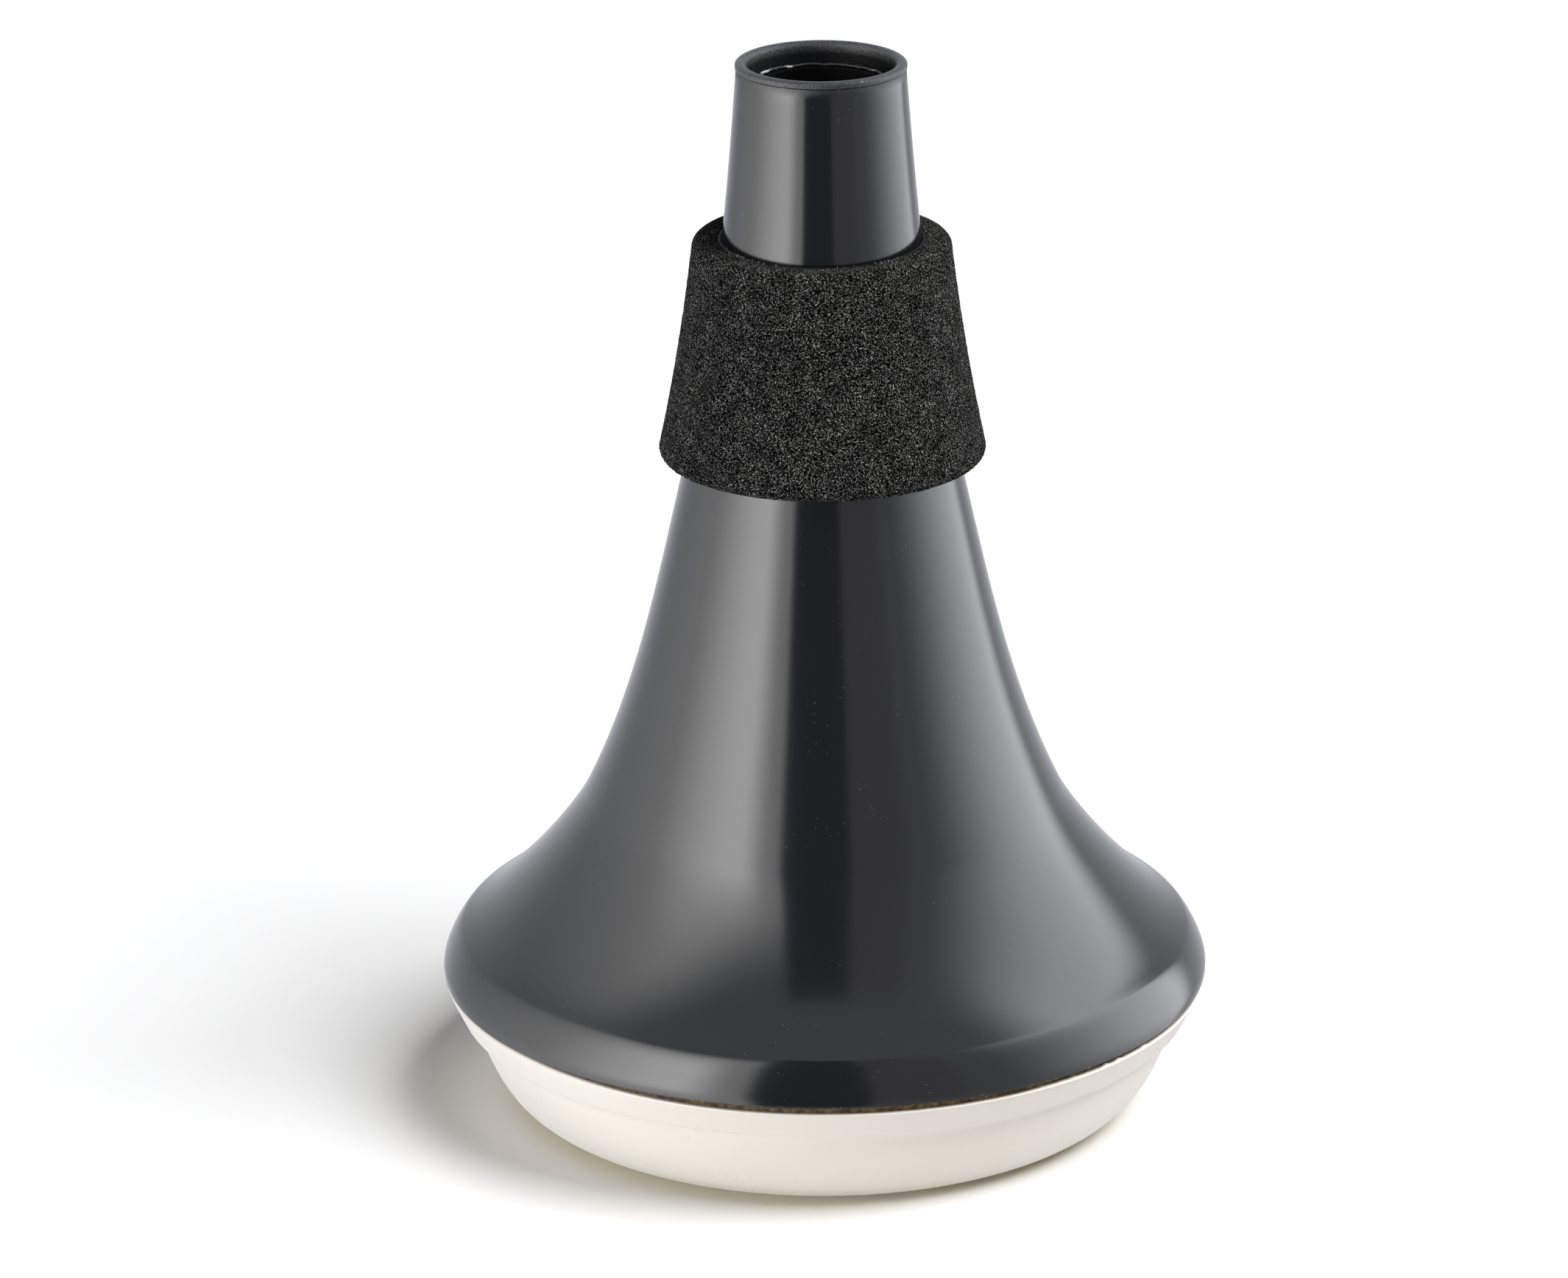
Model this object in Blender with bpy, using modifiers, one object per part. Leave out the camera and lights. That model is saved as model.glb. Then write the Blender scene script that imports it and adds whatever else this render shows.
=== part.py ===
"""Trumpet practice mute, standing on its cap with the tip up.

A flared black shell carries a tip ring, an air tube and felt damping. A foam collar
on a thin sleeve slides over its neck and seats in the bell of the trumpet. An ivory
cap closes the wide end with a push fit on a cork gasket. Everything is turned about
the Z axis, and the origin is the middle of the cap's flat bottom.
"""
import math

import bpy

MM = 0.001
FIT = 0.3                       # clearance between pieces that touch, in mm

# Shell: its outer wall in knots of radius, height, lean from straight down in degrees,
# and the Bezier handles as fractions of the chord, above and below the knot
SHELL_KNOTS = (
    (11.65, 149.60, 4.2, 0.34, 0.34),
    (18.80, 95.00, 13.1, 0.34, 0.34),
    (33.55, 45.00, 26.0, 0.34, 0.20),
    (51.15, 25.20, 58.0, 0.29, 0.21),
    (54.00, 19.70, 0.0, 0.20, 0.30),
    (53.60, 18.85, -22.0, 0.30, 0.30),
)
POINTS_PER_SPAN = (6, 7, 8, 6, 2)
SHELL_WALL = 2.0
SOCKET_R = 50.0                 # straight bore in the rim that takes the cap's spigot
TIP_REBATE_R = 10.6             # counterbore in the neck that takes the ring's skirt
TIP_REBATE_DEPTH = 6.3
BORE_THINNING = 2               # the hidden inner wall keeps one outline point in this many

# Cap: flange, gasket groove, spigot and dish
CAP_WALL = 2.3
SEAM = 0.5                      # open line between the shell's rim and the flange
FLANGE_R = 53.7
FLANGE_LOW_R = 51.9
FLANGE_HEIGHT = 4.8
FLANGE_EDGE = 0.2
DISH_TOP_R = 50.3
DISH_LEAN = 20.3                # of its side under the flange, in degrees from upright
DISH_SIDE_HANDLE = 7.7          # Bezier handles, down the side and out along the flat
DISH_FLAT_HANDLE = 8.8
DISH_FLAT_R = 37.2              # edge of the flat that the mute stands on
DISH_STEPS = 8
SPIGOT_WALL = 2.0
SPIGOT_RISE = 4.0               # above the shell's rim
GASKET_LIP = 0.9                # width of the flange's lip outside the gasket
GASKET_GROOVE = 0.75
VENT_R = 1.25
VENT_CIRCLE_R = 22.0
VENTS = 3

# Air tube, tip ring and glue line
TUBE_R = 9.3
TUBE_WALL = 0.8
TUBE_TOP = 147.4
TUBE_BOTTOM = 38.0
RING_CROWN = (10.95, 150.6)
RING_OUTER_R = 11.78
RING_MOUTH = (10.12, 149.7)
RING_SKIRT_WALL = 0.7
BEAD_R = 0.27

# Spider that centres the tube in the flare
SPIDER_LOW, SPIDER_HIGH = 40.0, 47.0
SPIDER_HUB_WALL = 2.0
SPIDER_LEG_WIDTH = 4.0
SPIDER_LEG_END_R = 27.0
SPIDER_LEGS = 3
PAD_THICKNESS = 2.2
PAD_WIDTH = 8.0
PAD_HEIGHT = 6.0

# Felt and foam damping
FELT_DISC_R = 36.5
FELT_DISC_HEIGHT = 3.0
FELT_SLEEVE_WALL = 2.6
FELT_SLEEVE_LOW, FELT_SLEEVE_HIGH = 52.0, 96.0
FELT_LINING_WALL = 2.0
FELT_LINING_LOW, FELT_LINING_HIGH = 52.0, 84.0
PLUG_LENGTH = 12.0

# Foam collar on its sleeve
COLLAR_LOW_R, COLLAR_LOW_Z = 22.6, 94.1
COLLAR_TOP_R, COLLAR_TOP_Z = 17.9, 126.0
COLLAR_EDGE = 1.4
SLEEVE_WALL = 1.0
SLEEVE_PROUD = 0.35

STEPS_LARGE = 48
STEPS_SMALL = 36

# Heights that follow
SHELL_TOP = SHELL_KNOTS[0][1]
SHELL_RIM = SHELL_KNOTS[-1][1]
FLANGE_TOP = SHELL_RIM - SEAM
FLANGE_LOW = FLANGE_TOP - FLANGE_HEIGHT


def bezier(a, b, c, d, t):
    """Point on a cubic Bezier curve in the (radius, height) plane."""
    s = 1.0 - t
    return tuple(s * s * s * p + 3 * s * s * t * q + 3 * s * t * t * u + t * t * t * v
                 for p, q, u, v in zip(a, b, c, d))


def handle(knot, length):
    """Move from a knot along its lean; a negative length goes back up the wall."""
    lean = math.radians(knot[2])
    return (knot[0] + length * math.sin(lean), knot[1] - length * math.cos(lean))


def shell_outline():
    """Outer wall of the shell from the tip down to the rim."""
    points = [SHELL_KNOTS[0][:2]]
    for upper, lower, count in zip(SHELL_KNOTS, SHELL_KNOTS[1:], POINTS_PER_SPAN):
        chord = math.dist(upper[:2], lower[:2])
        first = handle(upper, chord * upper[4])
        second = handle(lower, -chord * lower[3])
        for i in range(1, count + 1):
            points.append(bezier(upper[:2], first, second, lower[:2], i / count))
    return points


def inset(points, distance):
    """Move an outline that runs down the outer side inwards, square to itself."""
    moved = []
    for i, (r, z) in enumerate(points):
        before = points[max(i - 1, 0)]
        after = points[min(i + 1, len(points) - 1)]
        dr, dz = after[0] - before[0], after[1] - before[1]
        length = math.hypot(dr, dz)
        moved.append((r + distance * dz / length, z - distance * dr / length))
    return moved


def radius_at(points, z):
    """Radius of a falling outline at a height."""
    for (r0, z0), (r1, z1) in zip(points, points[1:]):
        if z1 <= z <= z0:
            return r0 + (r1 - r0) * (z0 - z) / (z0 - z1)
    raise ValueError("height outside the outline")


def height_at(points, r):
    """Height where a widening outline reaches a radius."""
    for (r0, z0), (r1, z1) in zip(points, points[1:]):
        if r0 <= r <= r1:
            return z0 + (z1 - z0) * (r - r0) / (r1 - r0)
    raise ValueError("radius outside the outline")


def stretch(points, high, low):
    """The part of a falling outline between two heights, cut at both ends."""
    inner = [p for p in points if low < p[1] < high]
    return [(radius_at(points, high), high)] + inner + [(radius_at(points, low), low)]


def arc(centre, radius, start, end, count):
    """Points on a circle in the (radius, height) plane, angles in degrees."""
    points = []
    for i in range(count + 1):
        angle = math.radians(start + (end - start) * i / count)
        points.append((centre[0] + radius * math.cos(angle), centre[1] + radius * math.sin(angle)))
    return points


def material(name, colour, roughness, metallic=0.0):
    """Principled material; the colour is linear red, green and blue."""
    mat = bpy.data.materials.new(name)
    mat.use_nodes = True
    shader = mat.node_tree.nodes["Principled BSDF"]
    shader.inputs["Base Color"].default_value = (*colour, 1.0)
    shader.inputs["Roughness"].default_value = roughness
    shader.inputs["Metallic"].default_value = metallic
    mat.diffuse_color = (*colour, 1.0)
    return mat


def finish(obj, collection, mat, parent=None):
    """Put an object in its collection, give it its material and its parent."""
    collection.objects.link(obj)
    if mat is not None:
        obj.data.materials.append(mat)
    obj.parent = parent
    return obj


def turned(name, points, steps, collection, mat, parent=None, closed=True):
    """Turn a profile in mm about Z. An open profile starts and ends on the axis."""
    vertices = [(r * MM, 0.0, z * MM) for r, z in points]
    edges = [(i, i + 1) for i in range(len(points) - 1)]
    if closed:
        edges.append((len(points) - 1, 0))
    mesh = bpy.data.meshes.new(name)
    mesh.from_pydata(vertices, edges, [])
    obj = finish(bpy.data.objects.new(name, mesh), collection, mat, parent)
    screw = obj.modifiers.new("turn", "SCREW")
    screw.axis = "Z"
    screw.steps = steps
    screw.render_steps = steps
    screw.use_merge_vertices = True
    screw.merge_threshold = 0.00001
    screw.use_smooth_shade = True
    return obj


def drill(target, name, location, radius, length, cutters):
    """Cut a round hole straight up through a target."""
    bpy.ops.mesh.primitive_cylinder_add(
        vertices=16, radius=radius * MM, depth=length * MM, location=location)
    cutter = bpy.context.object
    cutter.name = name
    for owner in list(cutter.users_collection):
        owner.objects.unlink(cutter)
    cutters.objects.link(cutter)
    cutter.hide_render = True
    cutter.display_type = "WIRE"
    cut = target.modifiers.new(name, "BOOLEAN")
    cut.operation = "DIFFERENCE"
    cut.object = cutter


def make_shell(outline, collection, mat, parent):
    """Flared shell: rebated at the tip for the ring and bored at the rim for the spigot."""
    inner = inset(outline, SHELL_WALL)
    rebate_z = SHELL_TOP - TIP_REBATE_DEPTH
    socket_top = height_at(inner, SOCKET_R)
    bore = stretch(inner, rebate_z, socket_top)
    bore = [bore[0]] + bore[BORE_THINNING:-1:BORE_THINNING] + [bore[-1]]
    profile = outline + [(SOCKET_R, SHELL_RIM)] + list(reversed(bore))
    profile += [(TIP_REBATE_R, rebate_z), (TIP_REBATE_R, SHELL_TOP)]
    return turned("body_shell", profile, STEPS_LARGE, collection, mat, parent)


def make_tip_ring(collection, mat, parent):
    """Rounded lip on the end of the neck, with a skirt inside it."""
    skirt_r = TIP_REBATE_R - FIT
    skirt_low = SHELL_TOP - TIP_REBATE_DEPTH + FIT
    seat = SHELL_TOP + FIT
    crown_r, crown_z = RING_CROWN
    side_z = seat + 0.45
    outer = []
    for i in range(5):
        angle = math.radians(90 - 90 * i / 4)
        outer.append((crown_r + (RING_OUTER_R - crown_r) * math.cos(angle),
                      side_z + (crown_z - side_z) * math.sin(angle)))
    inner = []
    for i in range(3):
        angle = math.radians(90 * i / 3)
        inner.append((crown_r - (crown_r - RING_MOUTH[0]) * math.cos(angle),
                      RING_MOUTH[1] + (crown_z - RING_MOUTH[1]) * math.sin(angle)))
    bore_r = skirt_r - RING_SKIRT_WALL
    profile = outer + [(RING_OUTER_R - 0.05, seat), (skirt_r, seat), (skirt_r, skirt_low),
                       (bore_r, skirt_low), (bore_r, TUBE_TOP + 0.3)] + inner
    return turned("tip_ring", profile, STEPS_SMALL, collection, mat, parent)


def make_tube(collection, mat, parent):
    """Air tube from the tip down into the chamber."""
    bore_r = TUBE_R - TUBE_WALL
    profile = [(TUBE_R, TUBE_TOP), (TUBE_R, TUBE_BOTTOM), (bore_r, TUBE_BOTTOM), (bore_r, TUBE_TOP)]
    return turned("inner_tube", profile, STEPS_SMALL, collection, mat, parent)


def make_glue_bead(collection, mat, parent):
    """Bead of glue on the tube's end, inside the tip ring."""
    centre = (TUBE_R - TUBE_WALL / 2 + 0.05, TUBE_TOP + FIT + BEAD_R)
    profile = arc(centre, BEAD_R, 0, -300, 5)
    return turned("tip_glue_bead", profile, STEPS_SMALL, collection, mat, parent)


def make_spider(collection, mat, parent):
    """Moulded hub on the tube with legs out to the flare, cut from one flat outline."""
    hub_r = TUBE_R + FIT + SPIDER_HUB_WALL
    half = SPIDER_LEG_WIDTH / 2
    root = math.asin(half / hub_r)
    outline = []
    for leg in range(SPIDER_LEGS):
        turn = math.radians(90) + leg * math.tau / SPIDER_LEGS
        for side in (-1, 1):
            for r in ((hub_r * math.cos(root), SPIDER_LEG_END_R) if side < 0
                      else (SPIDER_LEG_END_R, hub_r * math.cos(root))):
                outline.append((r * math.cos(turn) - side * half * math.sin(turn),
                                r * math.sin(turn) + side * half * math.cos(turn)))
        gap = math.tau / SPIDER_LEGS - 2 * root
        for i in range(1, 8):
            angle = turn + root + gap * i / 8
            outline.append((hub_r * math.cos(angle), hub_r * math.sin(angle)))
    bore = [((TUBE_R + FIT) * math.cos(math.tau * i / 32), (TUBE_R + FIT) * math.sin(math.tau * i / 32))
            for i in range(32)]
    curve = bpy.data.curves.new("tube_spider", "CURVE")
    curve.dimensions = "2D"
    curve.fill_mode = "BOTH"
    curve.extrude = (SPIDER_HIGH - SPIDER_LOW) / 2 * MM
    for points in (outline, bore):
        spline = curve.splines.new("POLY")
        spline.points.add(len(points) - 1)
        for target, (x, y) in zip(spline.points, points):
            target.co = (x * MM, y * MM, 0.0, 1.0)
        spline.use_cyclic_u = True
    obj = finish(bpy.data.objects.new("tube_spider", curve), collection, mat, parent)
    obj.location.z = (SPIDER_LOW + SPIDER_HIGH) / 2 * MM
    return obj


def make_spider_pads(collection, mat, parent):
    """Felt pad on the end of each leg, where it wedges in the flare."""
    for leg in range(SPIDER_LEGS):
        turn = math.radians(90) + leg * math.tau / SPIDER_LEGS
        middle = SPIDER_LEG_END_R + FIT + PAD_THICKNESS / 2
        bpy.ops.mesh.primitive_cube_add(size=1.0)
        pad = bpy.context.object
        pad.name = f"spider_pad_{leg + 1}"
        for owner in list(pad.users_collection):
            owner.objects.unlink(pad)
        pad.data.transform(((PAD_THICKNESS * MM, 0, 0, 0), (0, PAD_WIDTH * MM, 0, 0),
                            (0, 0, PAD_HEIGHT * MM, 0), (0, 0, 0, 1)))
        finish(pad, collection, mat, parent)
        pad.location = (middle * math.cos(turn) * MM, middle * math.sin(turn) * MM,
                        (SPIDER_LOW + SPIDER_HIGH) / 2 * MM)
        pad.rotation_euler.z = turn
        bevel = pad.modifiers.new("soft edge", "BEVEL")
        bevel.width = 0.4 * MM
        bevel.segments = 1


def make_damping(outline, collection, felt, foam, parent):
    """Felt round the tube, felt lining in the flare and an open foam plug in the tube."""
    inside = TUBE_R + FIT
    outside = inside + FELT_SLEEVE_WALL
    turned("tube_felt_sleeve",
           [(outside, FELT_SLEEVE_HIGH), (outside, FELT_SLEEVE_LOW),
            (inside, FELT_SLEEVE_LOW), (inside, FELT_SLEEVE_HIGH)],
           STEPS_SMALL, collection, felt, parent)
    back = stretch(inset(outline, SHELL_WALL + FIT), FELT_LINING_HIGH, FELT_LINING_LOW)
    front = stretch(inset(outline, SHELL_WALL + FIT + FELT_LINING_WALL), FELT_LINING_HIGH, FELT_LINING_LOW)
    turned("flare_felt_lining", back + list(reversed(front)), STEPS_SMALL, collection, felt, parent)
    plug_r = TUBE_R - TUBE_WALL - FIT
    plug_low = TUBE_BOTTOM + 0.5
    turned("tube_foam_plug",
           [(0.0, plug_low + PLUG_LENGTH), (plug_r, plug_low + PLUG_LENGTH),
            (plug_r, plug_low), (0.0, plug_low)],
           STEPS_SMALL, collection, foam, parent, closed=False)


def make_collar(outline, collection, foam, rubber, parent):
    """Foam wedge that seats in the bell, on a thin sleeve that grips the neck."""
    sleeve_top = COLLAR_TOP_Z + SLEEVE_PROUD
    sleeve_low = COLLAR_LOW_Z + SLEEVE_PROUD
    heights = [sleeve_top + (sleeve_low - sleeve_top) * i / 5 for i in range(6)]
    bore = [(radius_at(outline, z) + FIT, z) for z in heights]
    skin = [(r + SLEEVE_WALL, z) for r, z in bore]
    turned("collar_sleeve", skin + list(reversed(bore)), STEPS_SMALL, collection, rubber, parent)

    lean = math.degrees(math.atan2(COLLAR_LOW_R - COLLAR_TOP_R, COLLAR_TOP_Z - COLLAR_LOW_Z))
    top_centre = (COLLAR_TOP_R - COLLAR_EDGE, COLLAR_TOP_Z - COLLAR_EDGE)
    low_centre = (COLLAR_LOW_R - COLLAR_EDGE, COLLAR_LOW_Z + COLLAR_EDGE)
    outer = arc(top_centre, COLLAR_EDGE, 90, lean, 3) + arc(low_centre, COLLAR_EDGE, lean, -90, 3)
    seat = [(radius_at(outline, z) + 2 * FIT + SLEEVE_WALL, z)
            for z in (COLLAR_LOW_Z, (COLLAR_LOW_Z + COLLAR_TOP_Z) / 2, COLLAR_TOP_Z)]
    turned("foam_collar", outer + seat, STEPS_LARGE, collection, foam, parent)


def make_cap(collection, cutters, mat):
    """Ivory cap: dish, flange with its gasket groove, and the spigot inside the rim."""
    spigot_r = SOCKET_R - FIT
    spigot_in = spigot_r - SPIGOT_WALL
    spigot_top = SHELL_RIM + SPIGOT_RISE
    groove_r = FLANGE_R - GASKET_LIP
    groove_z = FLANGE_TOP - GASKET_GROOVE
    top = (DISH_TOP_R, FLANGE_LOW, -DISH_LEAN)
    dish = [bezier(top[:2], handle(top, DISH_SIDE_HANDLE), (DISH_FLAT_R + DISH_FLAT_HANDLE, 0.0),
                   (DISH_FLAT_R, 0.0), i / DISH_STEPS) for i in range(DISH_STEPS + 1)]
    bowl = list(reversed(inset(dish, CAP_WALL)))
    bowl_top = height_at(bowl, spigot_in)
    profile = [(0.0, CAP_WALL)] + [p for p in bowl if p[1] < bowl_top]
    profile += [
        (spigot_in, bowl_top), (spigot_in, spigot_top - 0.4),
        (spigot_in + 0.4, spigot_top), (spigot_r - 0.4, spigot_top), (spigot_r, spigot_top - 0.6),
        (spigot_r, groove_z), (groove_r, groove_z), (groove_r, FLANGE_TOP),
        (FLANGE_R - FLANGE_EDGE, FLANGE_TOP), (FLANGE_R, FLANGE_TOP - FLANGE_EDGE),
        (FLANGE_LOW_R + 0.1, FLANGE_LOW + 0.3), (FLANGE_LOW_R - 0.2, FLANGE_LOW),
    ]
    profile += dish + [(0.0, 0.0)]
    cap = turned("base_cap", profile, STEPS_LARGE, collection, mat, closed=False)
    for i in range(VENTS):
        turn = math.radians(30) + i * math.tau / VENTS
        place = (VENT_CIRCLE_R * math.cos(turn) * MM, VENT_CIRCLE_R * math.sin(turn) * MM, 0.0)
        drill(cap, f"vent_cutter_{i + 1}", place, VENT_R, 4 * CAP_WALL, cutters)
    return cap


def make_cap_fittings(collection, cork, felt, parent):
    """Cork gasket in the flange's groove and a felt disc on the dish's floor."""
    inside = SOCKET_R + 0.2
    outside = FLANGE_R - GASKET_LIP - FIT
    low = FLANGE_TOP - GASKET_GROOVE + FIT
    high = SHELL_RIM - FIT
    turned("rim_gasket", [(outside, high), (outside, low), (inside, low), (inside, high)],
           STEPS_LARGE, collection, cork, parent)
    floor = CAP_WALL + FIT
    top = floor + FELT_DISC_HEIGHT
    turned("cap_felt_disc",
           [(0.0, top), (FELT_DISC_R - 0.5, top), (FELT_DISC_R, top - 0.5), (FELT_DISC_R, floor), (0.0, floor)],
           STEPS_SMALL, collection, felt, parent, closed=False)


def empty(name, collection):
    """Empty on the turning axis that carries the pieces of one moving body."""
    obj = bpy.data.objects.new(name, None)
    obj.empty_display_size = 10 * MM
    collection.objects.link(obj)
    return obj


def main():
    for obj in list(bpy.data.objects):
        bpy.data.objects.remove(obj, do_unlink=True)
    collection = bpy.data.collections.new("practice_mute")
    cutters = bpy.data.collections.new("cutters")
    bpy.context.scene.collection.children.link(collection)
    bpy.context.scene.collection.children.link(cutters)

    gloss_black = material("gloss_black_abs", (0.022, 0.022, 0.025), 0.18)
    grained_black = material("grained_black_plastic", (0.035, 0.035, 0.037), 0.55)
    ivory = material("ivory_abs", (0.84, 0.76, 0.64), 0.25)
    black_foam = material("black_foam", (0.018, 0.018, 0.018), 0.95)
    grey_foam = material("grey_open_foam", (0.10, 0.10, 0.10), 1.0)
    rubber = material("black_rubber", (0.020, 0.020, 0.022), 0.6)
    felt = material("grey_felt", (0.16, 0.155, 0.15), 1.0)
    cork = material("brown_cork", (0.27, 0.15, 0.07), 0.9)
    glue = material("clear_glue", (0.55, 0.54, 0.50), 0.35)
    card = material("black_tube", (0.012, 0.012, 0.013), 0.5)

    housing = empty("housing_axis", collection)
    collar = empty("collar_axis", collection)
    outline = shell_outline()

    make_cap(collection, cutters, ivory)
    make_cap_fittings(collection, cork, felt, None)
    make_shell(outline, collection, gloss_black, housing)
    make_tip_ring(collection, grained_black, housing)
    make_tube(collection, card, housing)
    make_glue_bead(collection, glue, housing)
    make_spider(collection, grained_black, housing)
    make_spider_pads(collection, felt, housing)
    make_damping(outline, collection, felt, grey_foam, housing)
    make_collar(outline, collection, black_foam, rubber, collar)


main()
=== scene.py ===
# %% [markdown]
# # A trumpet practice mute
#
# The object is a small practice mute that stands on its cap with the tip up. Nearly all of
# it is turned work: a flared shell, a tip ring, a foam collar and a shallow cap are each a
# profile spun about one upright axis. So the lesson is about profiles: draw half a section
# well, spin it finely, and let the materials and the lamps do the rest.

# %% Load the frame
import math
import random

import bmesh
import bpy
from mathutils import Matrix, Vector, noise


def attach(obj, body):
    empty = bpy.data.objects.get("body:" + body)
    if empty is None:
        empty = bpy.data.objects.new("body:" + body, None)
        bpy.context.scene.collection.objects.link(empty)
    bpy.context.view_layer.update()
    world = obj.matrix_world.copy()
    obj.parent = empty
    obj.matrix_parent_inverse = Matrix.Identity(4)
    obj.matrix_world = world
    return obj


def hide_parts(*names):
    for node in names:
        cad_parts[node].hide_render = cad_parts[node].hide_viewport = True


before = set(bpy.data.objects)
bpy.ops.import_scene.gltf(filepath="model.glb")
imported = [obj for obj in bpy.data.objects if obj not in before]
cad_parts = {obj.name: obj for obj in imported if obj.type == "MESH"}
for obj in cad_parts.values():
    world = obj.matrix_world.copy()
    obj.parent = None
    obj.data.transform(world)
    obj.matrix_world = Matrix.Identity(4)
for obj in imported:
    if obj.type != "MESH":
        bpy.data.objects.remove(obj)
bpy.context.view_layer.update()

# %% [markdown]
# ## Sizes
#
# Everything is written in millimetres, as on a drawing, and turned to metres where a mesh
# is made. The shell's outside is five Bezier spans between knots, because that is how a
# draughtsman would fair a bell flare: a few points, each with the lean of the wall there.

# %% Driving sizes, in millimetres
MM = 0.001
FINE = 384                      # facets round the visible turned pieces
SHELL_KNOTS = (                 # radius, height, lean in degrees, handles above and below
    (11.65, 149.60, 4.2, 0.34, 0.34),
    (18.80, 95.00, 13.1, 0.34, 0.34),
    (33.55, 45.00, 26.0, 0.34, 0.20),
    (51.15, 25.20, 58.0, 0.29, 0.21),
    (54.00, 19.70, 0.0, 0.20, 0.30),
    (53.97, 18.85, -4.0, 0.40, 0.30),
)
SPAN_POINTS = (22, 22, 24, 16, 4)
SHELL_WALL = 2.0
SOCKET_R = 50.0
REBATE_R, REBATE_Z = 10.6, 143.3
TIP_R, TIP_Z = SHELL_KNOTS[0][:2]
RIM_R, RIM_Z = SHELL_KNOTS[-1][:2]
TUBE_R, TUBE_WALL, TUBE_TOP, TUBE_LOW = 9.3, 0.8, 147.4, 38.0
print("tip", 2 * TIP_R, "mm across, rim", 2 * RIM_R, "mm across")


# %% Curves in the plane of radius and height
def bezier(a, b, c, d, t):
    s = 1.0 - t
    return tuple(s**3 * p + 3 * s * s * t * q + 3 * s * t * t * u + t**3 * v
                 for p, q, u, v in zip(a, b, c, d))


def along(knot, length):
    lean = math.radians(knot[2])
    return (knot[0] + length * math.sin(lean), knot[1] - length * math.cos(lean))


def shell_outline():
    points = [SHELL_KNOTS[0][:2]]
    for upper, lower, count in zip(SHELL_KNOTS, SHELL_KNOTS[1:], SPAN_POINTS):
        chord = math.dist(upper[:2], lower[:2])
        start, end = along(upper, chord * upper[4]), along(lower, -chord * lower[3])
        for i in range(1, count + 1):
            points.append(bezier(upper[:2], start, end, lower[:2], i / count))
    return points


def inset(points, distance):
    moved = []
    for i, (r, z) in enumerate(points):
        before, after = points[max(i - 1, 0)], points[min(i + 1, len(points) - 1)]
        dr, dz = after[0] - before[0], after[1] - before[1]
        size = math.hypot(dr, dz)
        moved.append((r + distance * dz / size, z - distance * dr / size))
    return moved


def radius_at(points, z):
    for (r0, z0), (r1, z1) in zip(points, points[1:]):
        if z1 <= z <= z0:
            return r0 + (r1 - r0) * (z0 - z) / (z0 - z1)
    raise ValueError("height outside the outline")


def arc(centre, radius, start, end, count):
    angles = [math.radians(start + (end - start) * i / count) for i in range(count + 1)]
    return [(centre[0] + radius * math.cos(a), centre[1] + radius * math.sin(a)) for a in angles]


def run(start, end, count):
    """Points along a straight stretch, without its two ends."""
    return [(start[0] + (end[0] - start[0]) * i / count, start[1] + (end[1] - start[1]) * i / count)
            for i in range(1, count)]


def round_ring(inner_r, outer_r, low, high, edge, pitch):
    """Section of a turned ring with rounded edges, its straight sides divided every pitch."""
    corners = [arc((outer_r - edge, high - edge), edge, 90, 0, 4),
               arc((outer_r - edge, low + edge), edge, 0, -90, 4),
               arc((inner_r + edge, low + edge), edge, -90, -180, 4),
               arc((inner_r + edge, high - edge), edge, 180, 90, 4)]
    section = []
    for here, after in zip(corners, corners[1:] + corners[:1]):
        section += here + run(here[-1], after[0], max(2, round(math.dist(here[-1], after[0]) / pitch)))
    return section


OUTLINE = shell_outline()
print("shell outline", len(OUTLINE), "points")

# %% [markdown]
# ## One way to turn every piece
#
# A lathe turns one section, and so does bmesh.ops.spin. Spinning a fine piece the whole way
# is slow, so a sixteenth is spun, and the sector is doubled and turned four times. The
# seams and the poles of a solid piece are merged, and only then are the normals worked out
# again, because a spin can come out inside out. A wobble moves each finished vertex a
# little, for cells, fibres and wear that are real relief.


# %% The spin
SECTORS = 16


def as_piece(name, bm, sharp=35):
    mesh = bpy.data.meshes.new(name)
    bm.to_mesh(mesh)
    bm.free()
    mesh.shade_smooth()
    mesh.set_sharp_from_angle(angle=math.radians(sharp))
    piece = bpy.data.objects.new(name, mesh)
    bpy.context.scene.collection.objects.link(piece)
    print(name, len(mesh.polygons), "faces")
    return piece


def spun(name, section, closed=True, steps=FINE, wobble=None, sharp=35):
    bm = bmesh.new()
    chain = [bm.verts.new((r * MM, 0.0, z * MM)) for r, z in section]
    pairs = list(zip(chain, chain[1:])) + ([(chain[-1], chain[0])] if closed else [])
    edges = [bm.edges.new(pair) for pair in pairs]
    sector = math.tau / SECTORS
    bmesh.ops.spin(bm, geom=chain + edges, cent=(0, 0, 0), axis=(0, 0, 1), angle=sector,
                   steps=steps // SECTORS)
    while sector < math.pi * 1.5:
        copy = bmesh.ops.duplicate(bm, geom=bm.verts[:] + bm.edges[:] + bm.faces[:])["geom"]
        bmesh.ops.rotate(bm, cent=(0, 0, 0), matrix=Matrix.Rotation(sector, 3, "Z"),
                         verts=[part for part in copy if isinstance(part, bmesh.types.BMVert)])
        sector *= 2
    bmesh.ops.remove_doubles(bm, verts=bm.verts, dist=0.000002)
    bmesh.ops.recalc_face_normals(bm, faces=bm.faces)
    if wobble:
        for vert in bm.verts:
            vert.co += wobble(vert.co)
    return as_piece(name, bm, sharp)


def outward(co):
    return Vector((co.x, co.y, 0.0)).normalized()


# %% [markdown]
# ## Material helpers
#
# A colour is written as the hex value seen on the object and turned to linear light by one
# function. Another function adds a node, sets what it needs and links it: an input that is
# given a node takes that node's first output in use.


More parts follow.
